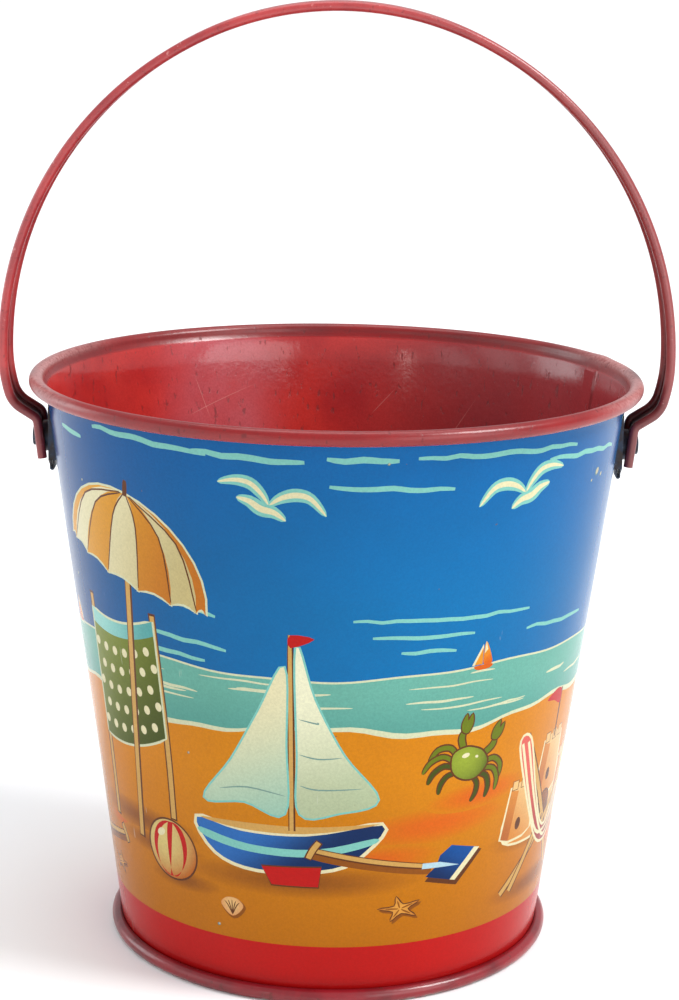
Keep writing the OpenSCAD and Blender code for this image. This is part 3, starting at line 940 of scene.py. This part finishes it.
def draw_shell(page, azimuth, z, scale=1.0):
    """A fan shell with five ribs."""
    draw = page.at(azimuth, z, scale)
    fan = smooth([(0, -2.4), (-3.2, 0.6), (-2.0, 2.6), (0, 3.1), (2.0, 2.6), (3.2, 0.6)], 4)
    draw([(x + 0.4, y - 0.5) for x, y in grown(fan, 0.3)], SHADOW)
    draw(fan, round_shade(PEACH, SAND_DEEP, (0, 1), 5))
    for i in range(-2, 3):
        draw(stroke([(0, -2.0), (i * 0.6, 0.6), (i * 1.1, 2.4 - abs(i) * 0.3)], 0.3), OUTLINE)


def make_artwork():
    """The whole printed scene, back to front: each outline on the wall with its ink."""
    rng = random.Random(7)
    page = Print()
    draw_ground(page, rng)
    draw_clouds(page, rng)
    for azimuth, z, scale, mirrored in GULLS:
        draw_gull(page, azimuth, z, scale, mirrored)
    waterline = 83.4
    for azimuth, scale, mirrored in SAILBOATS:
        draw_sailboat(page, azimuth, waterline, scale, mirrored)
    draw_lighthouse(page, -216, 83.0)
    draw_windbreak(page, -52, 36, 1.0)
    draw_parasol(page, -52, 34, 1.0, (GOLD, paint(190, 108, 24), CREAM))
    draw_castle(page, 64, 36, 0.92, RED, True)
    draw_deck_chair(page, 62, 21, 0.9, True)
    draw_toy_yacht(page, -11, 33, 0.98)
    draw_ball(page, -41, 34, 7.6, (paint(214, 190, 120), paint(186, 96, 24), RED))
    draw_crab(page, 32, 59.5, 1.2, -20)
    draw_spade(page, 21, 34.2, 0.92)
    draw_starfish(page, 17.5, 24.0, 1.0, 12)
    draw_shell(page, -24, 22.6, 0.9)
    draw_toy_bucket(page, 98, 36, 0.9, RED)
    draw_castle(page, -112, 34, 1.0, BLUE)
    draw_spade(page, -86, 26, 0.9, True)
    draw_parasol(page, -176, 34, 0.98, (RED, RED_DEEP, CREAM), True)
    draw_deck_chair(page, -192, 24, 0.9)
    draw_ball(page, -150, 34, 8.0, (paint(60, 120, 190), NAVY, CREAM))
    draw_toy_bucket(page, -134, 26, 0.9)
    draw_crab(page, -222, 42, 0.9, 10)
    draw_starfish(page, -208, 24, 0.9, 40)
    draw_shell(page, -238, 28, 0.9)
    draw_shell(page, -100, 22, 0.9)
    draw_starfish(page, -68, 22, 0.8, 64)
    bruise, bare = paint(74, 120, 128), paint(188, 176, 150)
    for azimuth, z, size in CHIPS:
        page.at(azimuth, z)(oval(0, 0, size * 1.3, size * 1.15, 20, 9), bruise)
        page.at(azimuth, z)(oval(0.1, 0.1, size, size * 0.8, 50, 7), bare)
    return page.shapes


# ---------------------------------------------------------------- meshes

def add_object(name, mesh, materials, body, replaced):
    """A finished piece: it rides on a body and stands for a node of the frame."""
    piece = bpy.data.objects.new(name, mesh)
    bpy.context.scene.collection.objects.link(piece)
    for material in materials:
        piece.data.materials.append(material)
    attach(piece, body)
    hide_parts(replaced)


def bridge(rows, points):
    """Adds rows of points, each a closed ring or one pole, to the points; gives the faces between them."""
    rings = []
    for row in rows:
        rings.append(range(len(points), len(points) + len(row)))
        points += row
    count = max(len(ring) for ring in rings)
    faces = []
    for low, high in zip(rings, rings[1:]):
        for i in range(count):
            k = (i + 1) % count
            corners = low[i % len(low)], low[k % len(low)], high[k % len(high)], high[i % len(high)]
            faces.append(tuple(dict.fromkeys(corners)))
    return faces


def weld(mesh):
    """Joins points that coincide and turns every face outwards."""
    work = bmesh.new()
    work.from_mesh(mesh)
    bmesh.ops.remove_doubles(work, verts=work.verts, dist=2e-6)
    bmesh.ops.recalc_face_normals(work, faces=work.faces)
    work.to_mesh(mesh)
    work.free()


def smooth_faces(mesh, sharp_degrees):
    """Smooth shading, with edges left sharp where faces turn by more than an angle."""
    mesh.polygons.foreach_set("use_smooth", [True] * len(mesh.polygons))
    mesh.set_sharp_from_angle(angle=math.radians(sharp_degrees))


def lathe(name, section, count=240):
    """A closed section turned round Z; points on the axis become poles."""
    points = []
    rows = [[around(360 * i / count, r, z) for i in range(count if r else 1)] for r, z in section]
    faces = bridge(rows, points)
    mesh = bpy.data.meshes.new(name)
    mesh.from_pydata(points, [], faces)
    weld(mesh)
    smooth_faces(mesh, 40)
    return mesh


def wall_columns():
    """Azimuths of the wall's columns, from seam to seam, closer together beside the seam."""
    beside = [math.degrees(d / SEAM_R) for d in (0.3, 0.6, SEAM_HALF - 0.2, SEAM_HALF + 0.2)]
    even = [i * COLUMN_STEP for i in range(int(360 / COLUMN_STEP) + 1)]
    steps = sorted(even + beside + [360 - b for b in beside])
    return [SEAM_AZIMUTH - 360 + s for s in steps]


def seam_offset(azimuth):
    """Distance round the wall from the side seam, in millimetres."""
    away = (azimuth - SEAM_AZIMUTH + 180) % 360 - 180
    return abs(math.radians(away)) * SEAM_R


def outside_point(azimuth, z):
    """A point of the printed skin, with a groove where the seam's edges meet."""
    groove = SEAM_GROOVE if seam_offset(azimuth) < 0.4 else 0.0
    return around(azimuth, wall_radius(z) + dent(azimuth, z) - groove, z)


def fine(outline):
    """The outline with points added so that no side spans more than one column."""
    out = []
    for (a, z), (b, w) in zip(outline, outline[1:] + outline[:1]):
        parts = max(1, math.ceil(abs(b - a) / COLUMN_STEP))
        out += [(a + (b - a) * i / parts, z + (w - z) * i / parts) for i in range(parts)]
    return out


def unrolled(azimuth, z):
    """A point of the print when the wall is laid flat, kept on the sheet."""
    return math.radians(azimuth) * UNROLL_R, min(max(z, PRINT_LOW), PRINT_HIGH)


def cut_wall(shapes, columns):
    """The flat wall cut into triangles along every printed outline, as points and triangles."""
    merge = 0.02        # points closer than this become one, which leaves no slivers
    wide = len(columns)
    rows = [PRINT_LOW + (PRINT_HIGH - PRINT_LOW) * i / ROW_COUNT for i in range(ROW_COUNT + 1)]
    points = [unrolled(a, z) for z in rows for a in columns]
    edges = [(row * wide + i, row * wide + i + 1) for row in (0, ROW_COUNT) for i in range(wide - 1)]
    for outline, _ in shapes:
        first = len(points)
        points += [unrolled(a, z) for a, z in outline]
        edges += [(first + i, first + (i + 1) % len(outline)) for i in range(len(outline))]
    flat, _, faces, *_ = delaunay_2d_cdt([Vector(p) for p in points], edges, [], 0, merge)
    flat = np.array([tuple(p) for p in flat])
    faces = np.array([tuple(f) for f in faces])
    across = flat[faces].mean(1)[:, 0]
    west, east = (math.radians(a) * UNROLL_R for a in (columns[0], columns[-1]))
    return flat, faces[(across > west) & (across < east)]


def inside_outline(ring, points):
    """Which of the points lie inside a closed outline, by how often it winds round them."""
    x, y = points[:, 0], points[:, 1]
    winding = np.zeros(len(points), int)
    for (ax, ay), (bx, by) in zip(ring, np.roll(ring, -1, 0)):
        side = (bx - ax) * (y - ay) - (by - ay) * (x - ax)
        winding += ((ay <= y) & (by > y) & (side > 0)).astype(int)
        winding -= ((ay > y) & (by <= y) & (side < 0)).astype(int)
    return winding != 0


def inked_triangles(shapes, columns):
    """The printed skin: points as (azimuth, height), triangles, and the topmost shape's ink at corners."""
    shapes = [(fine(outline), ink) for outline, ink in shapes]
    flat, faces = cut_wall(shapes, columns)
    middle = flat[faces].mean(1)
    top = np.zeros(len(faces), int)
    for index, (outline, _) in enumerate(shapes):
        ring = np.array([unrolled(a, z) for a, z in outline])
        near = np.where(((middle >= ring.min(0)) & (middle <= ring.max(0))).all(1))[0]
        top[near[inside_outline(ring, middle[near])]] = index
    places = [(math.degrees(x / UNROLL_R), z) for x, z in flat]
    colours = np.zeros((len(faces), 3, 4), np.float32)
    for f, (face, index) in enumerate(zip(faces, top)):
        ink = shapes[index][1]
        for k, corner in enumerate(face):
            colours[f, k] = ink(*places[corner])
    return places, faces, colours


def rim_profile():
    """Section from the top of the print over the rolled rim and down the inside, as (radius, height)."""
    centre_r, centre_z = RIM_R - CURL_R - RIM_EASE, RIM_TOP - CURL_R - RIM_EASE
    curl_start, curl_end, curl_steps, inside_steps = 215, 540, 20, 23
    section = [(71.05, 139.35), (71.45, 139.7)]
    for i in range(curl_steps + 1):
        a = math.radians(curl_start + (curl_end - curl_start) * i / curl_steps)
        section.append((centre_r + CURL_R * math.cos(a), centre_z + CURL_R * math.sin(a)))
    section += [(71.2, 140.0), (70.66, 139.2)]
    for i in range(inside_steps + 1):
        z = PRINT_HIGH + (PRINT_LOW - PRINT_HIGH) * i / inside_steps
        section.append((wall_radius(z) - SHEET, z))
    return section


def inside_point(azimuth, radius, z):
    """A point of the rim or the inside, with the folded seam standing proud."""
    away = seam_offset(azimuth)
    if z > PRINT_HIGH:
        proud = 0.28 * math.exp(-(away / 3.5) ** 2)
        outwards = proud if radius > 73 else -proud * 0.6
        return around(azimuth, radius + dent(azimuth, PRINT_HIGH) + outwards, z + proud * 0.5)
    proud = 0.5 if away < SEAM_HALF else 0.0
    return around(azimuth, radius + dent(azimuth, z) - proud, z)


def make_wall(ink_material, lacquer):
    """The tin wall: the printed skin, and one lacquered skin over the rim and down the inside."""
    columns = wall_columns()
    places, faces, colours = inked_triangles(make_artwork(), columns)
    points = [outside_point(a, z) for a, z in places]
    around_once = columns[:-1]
    rows = [[outside_point(a, PRINT_HIGH) for a in around_once]]
    rows += [[inside_point(a, r, z) for a in around_once] for r, z in rim_profile()]
    rows.append([outside_point(a, PRINT_LOW) for a in around_once])
    quads = bridge(rows, points)
    mesh = bpy.data.meshes.new("bucket_wall")
    mesh.from_pydata(points, [], [tuple(f) for f in faces] + quads)
    ink = mesh.color_attributes.new("ink", "FLOAT_COLOR", "CORNER")
    values = np.ones((len(mesh.loops), 4), np.float32)
    values[:len(faces) * 3] = colours.reshape(-1, 4)
    ink.data.foreach_set("color", values.ravel())
    mesh.polygons.foreach_set("material_index", [0] * len(faces) + [1] * len(quads))
    weld(mesh)
    smooth_faces(mesh, 35)
    add_object("bucket_wall", mesh, [ink_material, lacquer], "bucket", "body_shell")


def make_base(material):
    """Base pan: stepped floor, short upright wall and the foot bead rolled round the bucket's edge."""
    floor = [(0, 4.25), (36.8, 4.25), (37.6, 4.1), (38.4, 3.6), (39.2, 3.45)]
    upright = [(51.9, 3.45), (52.2, 3.2), (52.3, 1.5), (53.15, 1.4), (53.25, 2.6), (53.32, 3.3)]
    bead_start, bead_turn, bead_steps = 100, 280, 18
    bead = []
    for i in range(bead_steps + 1):
        a = math.radians(bead_start - bead_turn * i / bead_steps)
        bead.append((FOOT_R - BEAD_R + BEAD_R * math.cos(a), max(BEAD_Z + BEAD_R * math.sin(a), 0.0)))
    underside = [(52.0, 2.6), (51.7, 3.0)] + [(r, z - SHEET) for r, z in reversed(floor)]
    mesh = lathe("base_pan_foot", floor + upright + bead + underside)
    add_object("base_pan_foot", mesh, [material], "bucket", "base_pan")


def strap_path(depth):
    """Points along the handle, left end to right end, at a depth below its outer face.

    Arcs run from the crown down the flank and shoulder into a bend. A short diagonal and a reverse bend
    then lead to the straight end, which hangs nearly plumb.
    """
    crown_r, flank_r, shoulder_r, bend_r, reverse_r = 77.0, 86.0, 35.0, 8.0, 1.2
    split, shoulder_end, bend_end, end_turn = 65.0, -16.0, -58.0, 6.6
    diagonal, end_length = 3.4, 8.8

    def polar(centre, radius, degrees):
        a = math.radians(degrees)
        return (centre[0] + radius * math.cos(a), centre[1] + radius * math.sin(a))

    def arc(centre, radius, first, last, count):
        return [polar(centre, radius, first + (last - first) * i / count) for i in range(1, count + 1)]
    crown = (0.0, HANDLE_TOP - crown_r)
    flank = polar(crown, crown_r - flank_r, split)
    shoulder = polar(flank, flank_r - shoulder_r, 0)
    bend = polar(shoulder, shoulder_r - bend_r, shoulder_end)
    a = math.radians(bend_end)
    turn_start = polar(bend, bend_r, bend_end)
    turn_start = (turn_start[0] + diagonal * math.sin(a), turn_start[1] - diagonal * math.cos(a))
    reverse = polar(turn_start, reverse_r, bend_end)
    line = [(0.0, HANDLE_TOP - depth)]
    line += arc(crown, crown_r - depth, 90, split, 14)
    line += arc(flank, flank_r - depth, split, 0, 40)
    line += arc(shoulder, shoulder_r - depth, 0, shoulder_end, 8)
    line += arc(bend, bend_r - depth, shoulder_end, bend_end, 12)
    line += arc(reverse, reverse_r + depth, bend_end + 180, 180 - end_turn, 8)
    x, z = line[-1]
    tilt = math.radians(end_turn)
    line += [(x - end_length * t * math.sin(tilt), z - end_length * t * math.cos(tilt)) for t in (0.5, 1)]
    return [(-x, z) for x, z in reversed(line[1:])] + line


def sweep_tree():
    """Geometry nodes that sweep the strap's section, a web between two turned edges, along a line."""
    tree = bpy.data.node_groups.new("strap_sweep", "GeometryNodeTree")
    tree.interface.new_socket("Path", in_out="INPUT", socket_type="NodeSocketGeometry")
    for name in ("Half width", "Edge radius", "Web thickness", "Web depth"):
        tree.interface.new_socket(name, in_out="INPUT", socket_type="NodeSocketFloat")
    tree.interface.new_socket("Finish", in_out="INPUT", socket_type="NodeSocketMaterial")
    tree.interface.new_socket("Strap", in_out="OUTPUT", socket_type="NodeSocketGeometry")

    def give(socket, value):
        """Links the socket, or sets its number."""
        if isinstance(value, bpy.types.NodeSocket):
            tree.links.new(value, socket)
        else:
            socket.default_value = value

    def put(kind, settings=None, **sockets):
        """Adds a node: its settings, then the numbers or links of its sockets."""
        node = tree.nodes.new(kind)
        for key, value in (settings or {}).items():
            setattr(node, key, value)
        for key, value in sockets.items():
            give(node.inputs[key.replace("_", " ")], value)
        return node

    def times(a, b):
        node = put("ShaderNodeMath", {"operation": "MULTIPLY"})
        give(node.inputs[0], a)
        give(node.inputs[1], b)
        return node.outputs[0]
    given = put("NodeGroupInput").outputs
    curve = put("GeometryNodeMeshToCurve", Mesh=given["Path"]).outputs[0]
    curve = put("GeometryNodeSetCurveNormal", {"mode": "FREE"}, Curve=curve, Normal=(0, 1, 0)).outputs[0]
    joined = put("GeometryNodeJoinGeometry")
    for side in (-1, 1):
        ring = put("GeometryNodeCurvePrimitiveCircle", Resolution=24, Radius=given["Edge radius"]).outputs[0]
        place = put("ShaderNodeCombineXYZ", X=times(given["Half width"], side)).outputs[0]
        ring = put("GeometryNodeTransform", Geometry=ring, Translation=place).outputs[0]
        swept = put("GeometryNodeCurveToMesh", Curve=curve, Profile_Curve=ring, Fill_Caps=True).outputs[0]
        tree.links.new(swept, joined.inputs[0])
    plate = put("GeometryNodeCurvePrimitiveQuadrilateral", Width=times(given["Half width"], 2.0),
                Height=given["Web thickness"]).outputs[0]
    place = put("ShaderNodeCombineXYZ", Y=given["Web depth"]).outputs[0]
    plate = put("GeometryNodeTransform", Geometry=plate, Translation=place).outputs[0]
    swept = put("GeometryNodeCurveToMesh", Curve=curve, Profile_Curve=plate, Fill_Caps=True).outputs[0]
    tree.links.new(swept, joined.inputs[0])
    real = put("GeometryNodeRealizeInstances", Geometry=joined.outputs[0]).outputs[0]
    done = put("GeometryNodeSetMaterial", Geometry=real, Material=given["Finish"]).outputs[0]
    tree.links.new(done, put("NodeGroupOutput").inputs[0])
    return tree


def make_handle(material):
    """The strap, swept along its line and made a plain mesh; it lies a hair inside the frame's box."""
    width, edge_r, web, ease = 12.7, 1.15, 0.8, 0.01
    path = bpy.data.meshes.new("strap_line")
    line = strap_path(edge_r + ease)
    path.from_pydata([(x * MM, 0, z * MM) for x, z in line], [(i, i + 1) for i in range(len(line) - 1)], [])
    holder = bpy.data.objects.new("strap_line", path)
    bpy.context.scene.collection.objects.link(holder)
    tree = sweep_tree()
    modifier = holder.modifiers.new("sweep", "NODES")
    modifier.node_group = tree
    sizes = {"Half width": width / 2 - edge_r, "Edge radius": edge_r, "Web thickness": web,
             "Web depth": edge_r - web / 2 - 0.1}
    for item in tree.interface.items_tree:
        if item.name in sizes:
            modifier[item.identifier] = sizes[item.name] * MM
        elif item.name == "Finish":
            modifier[item.identifier] = material
    bpy.context.view_layer.update()
    evaluated = holder.evaluated_get(bpy.context.evaluated_depsgraph_get())
    mesh = bpy.data.meshes.new_from_object(evaluated)
    bpy.data.objects.remove(holder)
    mesh.name = "strap_handle"
    mesh.materials.clear()
    weld(mesh)
    smooth_faces(mesh, 50)
    add_object("strap_handle", mesh, [material], "handle", "handle_strap")


def finish_nodes():
    """Better finishes on the pieces whose shapes come from the frame."""
    tin, steel = tarnished_tin_and_washer_shade(), drawn_steel()
    finishes = {"rim_wire": steel}
    # Ears and rivets take the dark tin; on the washers it is also painted shade in the gap between ear and
    # handle
    for part in ("ear", "rivet", "washer"):
        for side in ("left", "right"):
            finishes[part + "_" + side] = tin
    for node, material in finishes.items():
        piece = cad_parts[node]
        piece.data.materials.clear()
        piece.data.materials.append(material)


def make_floor():
    """A wide plain floor that the bucket stands on."""
    reach = 60.0
    corners = [(-reach, -reach, 0), (reach, -reach, 0), (reach, reach, 0), (-reach, reach, 0)]
    mesh = bpy.data.meshes.new("floor")
    mesh.from_pydata(corners, [], [(0, 1, 2, 3)])
    mesh.materials.append(pale_floor())
    floor = bpy.data.objects.new("floor", mesh)
    bpy.context.scene.collection.objects.link(floor)


make_camera()
make_studio()
make_floor()
make_wall(printed_tin(), red_lacquer())
make_base(foot_lacquer())
make_handle(red_enamel())
finish_nodes()
